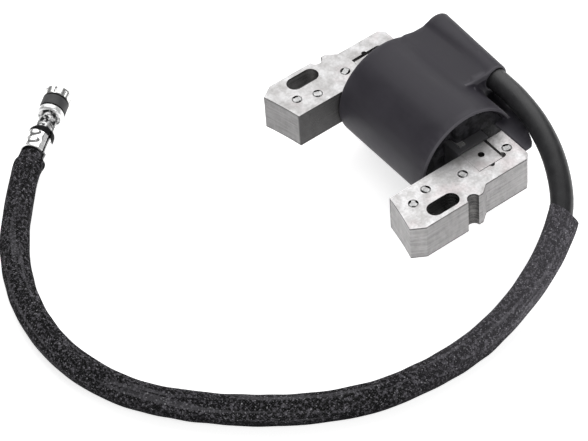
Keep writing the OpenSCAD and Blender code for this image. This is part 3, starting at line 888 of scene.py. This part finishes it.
def loosened(node, plan):
    """The plan with the joint gaps: along the tenon's side, and open at the rear tenon's end."""
    x, y = plan[:, 0].copy(), plan[:, 1].copy()
    if node == "core_bar":
        plan[y > y.max() - NEAR, 1] -= BAR_SIDE_SHIFT
        plan[x < x.min() + NEAR, 0] += BAR_REAR_SHIFT
        plan[x > x.max() - NEAR, 0] -= BAR_FRONT_SHIFT
    else:
        side = COIL_Y + BAR_W / 2
        lip = (np.abs(np.abs(x) - LEG_IN) < NEAR) & (y > side + 0.2) & (y < side + 1.5)
        plan[lip, 1] -= POCKET_LIP_SHIFT
    return plan


def laminated(name, node, stack_low, stack_high, hole_slot):
    """The node's plan as a stack of separate sheets with rolled-over edges."""
    plan, faces, rim = plan_of(node)
    punched = hole_points(plan, rim)
    in_notch = set(np.flatnonzero(
        np.hypot(np.abs(plan[:, 0]) - NOTCH_AT[0], plan[:, 1] - NOTCH_AT[1]) < NOTCH_R + 0.1))
    plan = loosened(node, plan)
    away = outward(plan, rim)
    pitch = (stack_high - stack_low) / SHEETS
    points, polygons, on_face = [], [], []
    for sheet in range(SHEETS):
        base = sum(len(p) for p in points)
        low, high = stack_low + sheet * pitch, stack_low + (sheet + 1) * pitch
        shift = rng.normal(0, SHEET_SHIFT / 2, 2).clip(-SHEET_SHIFT, SHEET_SHIFT)
        for z, inset in (
                (high, SHEET_EDGE), (high - SHEET_EDGE, 0.0),
                (low + SHEET_GAP + SHEET_EDGE, 0.0), (low + SHEET_GAP, SHEET_EDGE)):
            layer = plan.copy()
            layer[:, :2] += shift - inset * away
            layer[:, 2] = z
            points.append(layer)
        count = len(plan)
        polygons += [tuple(base + i for i in f) for f in faces]
        polygons += [tuple(base + 3 * count + i for i in f[::-1]) for f in faces]
        on_face += [0] * (2 * len(faces))
        for level in range(3):
            top, under = base + level * count, base + (level + 1) * count
            polygons += [(top + b, top + a, under + a, under + b) for a, b in rim]
            # walls of punched holes and of the notch take the slots painted with shade
            on_face += [
                2 if a in punched else 3 if a in in_notch and b in in_notch else 1 for a, b in rim]
    piece = add_piece(name, np.vstack(points), polygons, "lamination", "lamination_edge",
                      hole_slot, "lamination_notch", smooth=False)
    piece.data.polygons.foreach_set("material_index", on_face)
    return stands_for(piece, "lamination", node)


def make_core():
    """Both legs and the bar, as stacks of the bar's height."""
    low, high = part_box("core_bar")
    for node in ("core_leg_front", "core_leg_rear", "core_bar"):
        # the slot walls are painted with shade, less dark on the rear leg
        hole_slot = "lamination_hole_rear" if node == "core_leg_rear" else "lamination_hole"
        laminated(node + "_sheets", node, low.z / MM, high.z / MM, hole_slot)


def make_rivets():
    """Flush rivets: a shallow dish at both ends, and a groove round it that is closed in places."""
    source = frame["nodes"]["core_rivets"].data
    ends = np.array([v.co / MM for v in source.vertices])
    low, high = ends[:, 2].min(), ends[:, 2].max()
    # the CAD node's points fall into one group for each rivet
    groups = []
    for x, y in ends[:, :2]:
        near = [g for g in groups if math.hypot(x - g[0][0], y - g[0][1]) < 4]
        if near:
            near[0].append((x, y))
        else:
            groups.append([(x, y)])
    spots = [np.mean([np.min(g, axis=0), np.max(g, axis=0)], axis=0) for g in groups]
    # radius and height from the face: the dish, its crown, the groove and the shank
    rivet_r, sides = 1.50, 32
    head = [(0.0, -0.10), (0.5, -0.08), (0.7, -0.03), (0.82, 0.0), (0.91, -0.06), (0.94, -0.7),
            (0.98, -1.6), (rivet_r, -2.2)]
    profile = [(r, high + z) for r, z in head] + [(rivet_r, high - 3), (rivet_r, low + 3)]
    profile += [(r, low - z) for r, z in head[::-1]]
    turn = np.linspace(0, 2 * math.pi, sides, endpoint=False)
    points, faces = [], []
    for x, y in spots:
        base = len(points)
        dashes = np.sin(rng.integers(2, 4) * turn + rng.uniform(0, 2 * math.pi))
        closed = np.clip(0.8 - 3.0 * dashes + 0.6 * np.sin(turn + 3 * y), 0, 1)
        for r, z in profile:
            in_groove = 0.9 < r < 1.3
            depth = min(high - z, z - low)
            spread = max(r, 0.02) + (rivet_r + 0.02 - r) * closed * in_groove
            raised = max(depth - 0.02, 0) * closed * (in_groove and depth < 0.1)
            level = z + raised * np.sign(z - (low + high) / 2)
            points += [(x + w * math.cos(a), y + w * math.sin(a), h)
                       for a, w, h in zip(turn, spread, np.broadcast_to(level, turn.shape))]
        faces += [tuple(base + i for i in f) for f in grid_faces(len(profile), sides, True, True)]
        faces.append(tuple(base + k for k in range(sides)))
        faces.append(tuple(base + (len(profile) - 1) * sides + k for k in range(sides))[::-1])
    return stands_for(add_piece("peened_rivets", points, faces, "rivet"), "rivet", "core_rivets")


# ---- moulded shapes, from distance fields -----------------------------------------------


FIELD_STEP = 0.36


class Field:
    """A box of space in millimetres, where shapes are signed distances, negative inside."""

    def __init__(self, low, high):
        self.low = np.array(low, float)
        axes = [np.arange(a, b, FIELD_STEP, dtype=np.float32) for a, b in zip(low, high)]
        self.x, self.y, self.z = np.meshgrid(*axes, indexing="ij", sparse=True)

    def rod(self, x0, x1, y, z, r0, r1=None, edge=0.0):
        """Round bar along X, or a cone, with rounded ends."""
        r1 = r0 if r1 is None else r1
        share = np.clip((self.x - x0) / (x1 - x0), 0, 1)
        side = np.hypot(self.y - y, self.z - z) - (r0 + (r1 - r0) * share) + edge
        end = np.maximum(x0 + edge - self.x, self.x - x1 + edge)
        return self.corner(side, end) - edge

    def prism(self, across, x0, x1, outline, edge=0.0):
        """Outline in the Y-Z plane ("x"), or the X-Y plane ("z"), run from x0 to x1."""
        u, v, w = (self.y, self.z, self.x) if across == "x" else (self.x, self.y, self.z)
        flat = self.outline(u, v, outline) + edge
        end = np.maximum(x0 + edge - w, w - x1 + edge)
        return self.corner(flat, end) - edge

    @staticmethod
    def corner(a, b):
        """Distance to where both shapes overlap, true outside their corner as well."""
        outside = np.hypot(np.maximum(a, 0), np.maximum(b, 0))
        return np.minimum(np.maximum(a, b), 0) + outside

    @staticmethod
    def outline(u, v, points):
        """Distance to a polygon in its own plane."""
        points = np.array(points, float)
        best, inside = None, None
        for a, b in zip(points, np.roll(points, -1, axis=0)):
            run = b - a
            share = np.clip(((u - a[0]) * run[0] + (v - a[1]) * run[1]) / (run @ run), 0, 1)
            away = np.hypot(u - a[0] - share * run[0], v - a[1] - share * run[1])
            best = away if best is None else np.minimum(best, away)
            if a[1] != b[1]:
                crossing = (b[0] - a[0]) * (v - a[1]) / (b[1] - a[1]) + a[0]
                crossed = ((a[1] > v) != (b[1] > v)) & (u < crossing)
                inside = crossed if inside is None else inside ^ crossed
        return np.where(inside, -best, best)

    def piece(self, name, distance, slot):
        """The shape's surface as a mesh piece."""
        band = 3 * FIELD_STEP
        grid = openvdb.FloatGrid(band)
        grid.copyFromArray(np.ascontiguousarray(np.clip(distance, -band, band)))
        points, triangles, quads = grid.convertToPolygons(isovalue=0.0, adaptivity=0.02)
        faces = [tuple(f) for f in triangles.tolist()] + [tuple(f) for f in quads.tolist()]
        points = np.asarray(points) * FIELD_STEP + self.low
        return add_piece(name, points, faces, slot)


def join(a, b, fillet):
    """Both shapes, with a soft concave fillet between them."""
    share = np.maximum(fillet - np.abs(a - b), 0) / fillet
    return np.minimum(a, b) - share * share * fillet / 4


def cut(a, b, round_mm=0.3):
    """The first shape without the second, with a small round on the edge."""
    return -join(-a, b, round_mm)


def bobbin_tube(f, x0, x1):
    """The square tube that the bar goes through."""
    return f.prism("x", x0, x1, [
        (COIL_Y + across * TUBE_HALF_W, COIL_Z + up * TUBE_HALF_H)
        for across, up in ((-1, -1), (1, -1), (1, 1), (-1, 1))])


def make_case():
    """Moulded case: round body, lead tower blended on with a soft hollow, rib and tongue."""
    f = Field((-23, 1.5, -12.5), (34.5, 48.5, 25.5))
    body = f.rod(*CASE_X, COIL_Y, COIL_Z, CASE_R, edge=0.7)
    web = f.prism("x", CASE_X[0], TOWER_NEAR_X, [
        (24, 14), (30.3, 21.3), (42.2, 21.3), (45.0, 19.6), (46.1, 17.0), (46, 14),
        (43.5, 10.5), (38.5, 8), (30, 8)], 0.5)
    boss = f.rod(CASE_X[0], TOWER_NEAR_X, LEAD_Y, LEAD_Z, 5.5, 4.35, 0.4)
    tower = join(web, boss, 0.8)
    shape = join(body, tower, 2.4)
    shape = cut(shape, f.rod(CASE_X[0] + CASE_END_WALL, CASE_X[1] + 2, COIL_Y, COIL_Z, CAVITY_R))
    rebate_deep, rebate_wide = 0.9, 0.55
    rebate = f.rod(CASE_X[1] - rebate_deep, CASE_X[1] + 2, COIL_Y, COIL_Z, CAVITY_R + rebate_wide)
    shape = cut(shape, rebate, 0.2)
    shape = cut(shape, bobbin_tube(f, CASE_X[0] - 2, CASE_X[0] + 3))
    shape = cut(shape, f.rod(-6, TOWER_NEAR_X + 2, LEAD_Y, LEAD_Z, LEAD_R + 0.06), 0.5)
    rib = f.prism("z", *RIB_Z, [
        (3.5, 36.5), (3.5, 41), (12, 41), (19.5, 40.3), (25.7, 38.9), (29.4, 37.3),
        (31.3, 36.3), (32.5, 35.2), (32.7, 32.5), (14.5, 32.5), (14.5, 36.5)], 0.2)
    shape = join(shape, rib, 0.6)
    piece = f.piece("case_moulding", shape, "case_plastic")
    return stands_for(piece, "case_plastic", "coil_case")


def make_resin():
    """Potting: a high smooth plate at the back, a step, and a deeper pocket at the front."""
    f = Field((-20.5, 4, -11), (19.5, 38.5, 23.8))
    from_wall = CAVITY_R - np.hypot(f.y - COIL_Y, f.z - COIL_Z)
    creep = 0.9 * np.exp(-np.maximum(from_wall, 0) / 0.9)
    step = 1 / (1 + np.exp(-(f.y - POCKET_Y) / 0.12))
    lumps = 0.06 * np.sin(0.9 * f.y + 0.4) * np.sin(0.7 * f.z + 1.0)
    surface = POCKET_X + (RESIN_X - POCKET_X - 0.1) * step + creep * (1 - 0.7 * step) + lumps
    # resin drawn over the wires in the pocket
    for y, z, r, h in ((13.5, 10.5, 1.6, 0.9), (9.5, 5.0, 2.2, 0.6), (12.0, 16.5, 1.8, 0.7),
                       (16.0, 15.3, 1.1, 1.0)):
        surface = surface + h * np.exp(-((f.y - y) ** 2 + (f.z - z) ** 2) / r ** 2)
    shape = f.rod(CASE_X[0] + CASE_END_WALL, RESIN_X + 0.3, COIL_Y, COIL_Z, CAVITY_R - 0.02)
    shape = np.maximum(shape, (f.x - surface) * 0.8)
    windings = f.rod(-22, 13.0, COIL_Y, COIL_Z, 15.1)
    shape = np.maximum(np.maximum(shape, -windings), -bobbin_tube(f, -22, 21))
    piece = f.piece("potting_pour", shape, "resin")
    return stands_for(piece, "resin", "potting_resin")


# ---- everything else keeps its CAD shape ------------------------------------------------


def finish_cad_nodes():
    """Materials and softened edges for the CAD nodes that stay."""
    slots = {s["node"]: s["material_slot"] for s in frame["record"]["subparts"]}
    edges = {"socket_clip": 0.08, "stop_terminal": 0.1, "primary_bobbin": 0.15,
             "circuit_board": 0.05, "switching_transistor": 0.12, "board_resistors": 0.08,
             "ground_strap": 0.05, "tower_contact": 0.05}
    for name, node in frame["nodes"].items():
        if node.hide_render:
            continue
        node.data.materials.clear()
        node.data.materials.append(MATERIALS[slots[name]])
        if name in edges:
            soften(node, edges[name])


def make_floor():
    """White table just under the coil, which glows a little so that it shows as white."""
    half_size = 3.0
    mesh = bmesh.new()
    bmesh.ops.create_grid(mesh, x_segments=8, y_segments=8, size=half_size)
    data = bpy.data.meshes.new("floor")
    mesh.to_mesh(data)
    mesh.free()
    floor = bpy.data.objects.new("floor", data)
    floor.location.z = (FLOOR_Z - 0.02) * MM
    t = Tree("floor_white", grey(0.95), 0.7)
    t.shader.inputs["Emission Color"].default_value = (1, 1, 1, 1)
    t.shader.inputs["Emission Strength"].default_value = 0.7
    t.bump(t.noise(6.0), 0.01)
    data.materials.append(t.material)
    bpy.context.scene.collection.objects.link(floor)


# ---- the scene --------------------------------------------------------------------------

bpy.context.scene.view_settings.view_transform = "Standard"
make_camera()
MATERIALS = make_materials()
lead_line, point_rows = smooth_route(LEAD_ROUTE)
lead = make_lead(lead_line)
sleeve = make_sleeve(lead_line, point_rows)
barrel = make_barrel()
socket = make_socket()
make_core()
make_rivets()
make_case()
make_resin()
finish_cad_nodes()
make_lights()
make_floor()
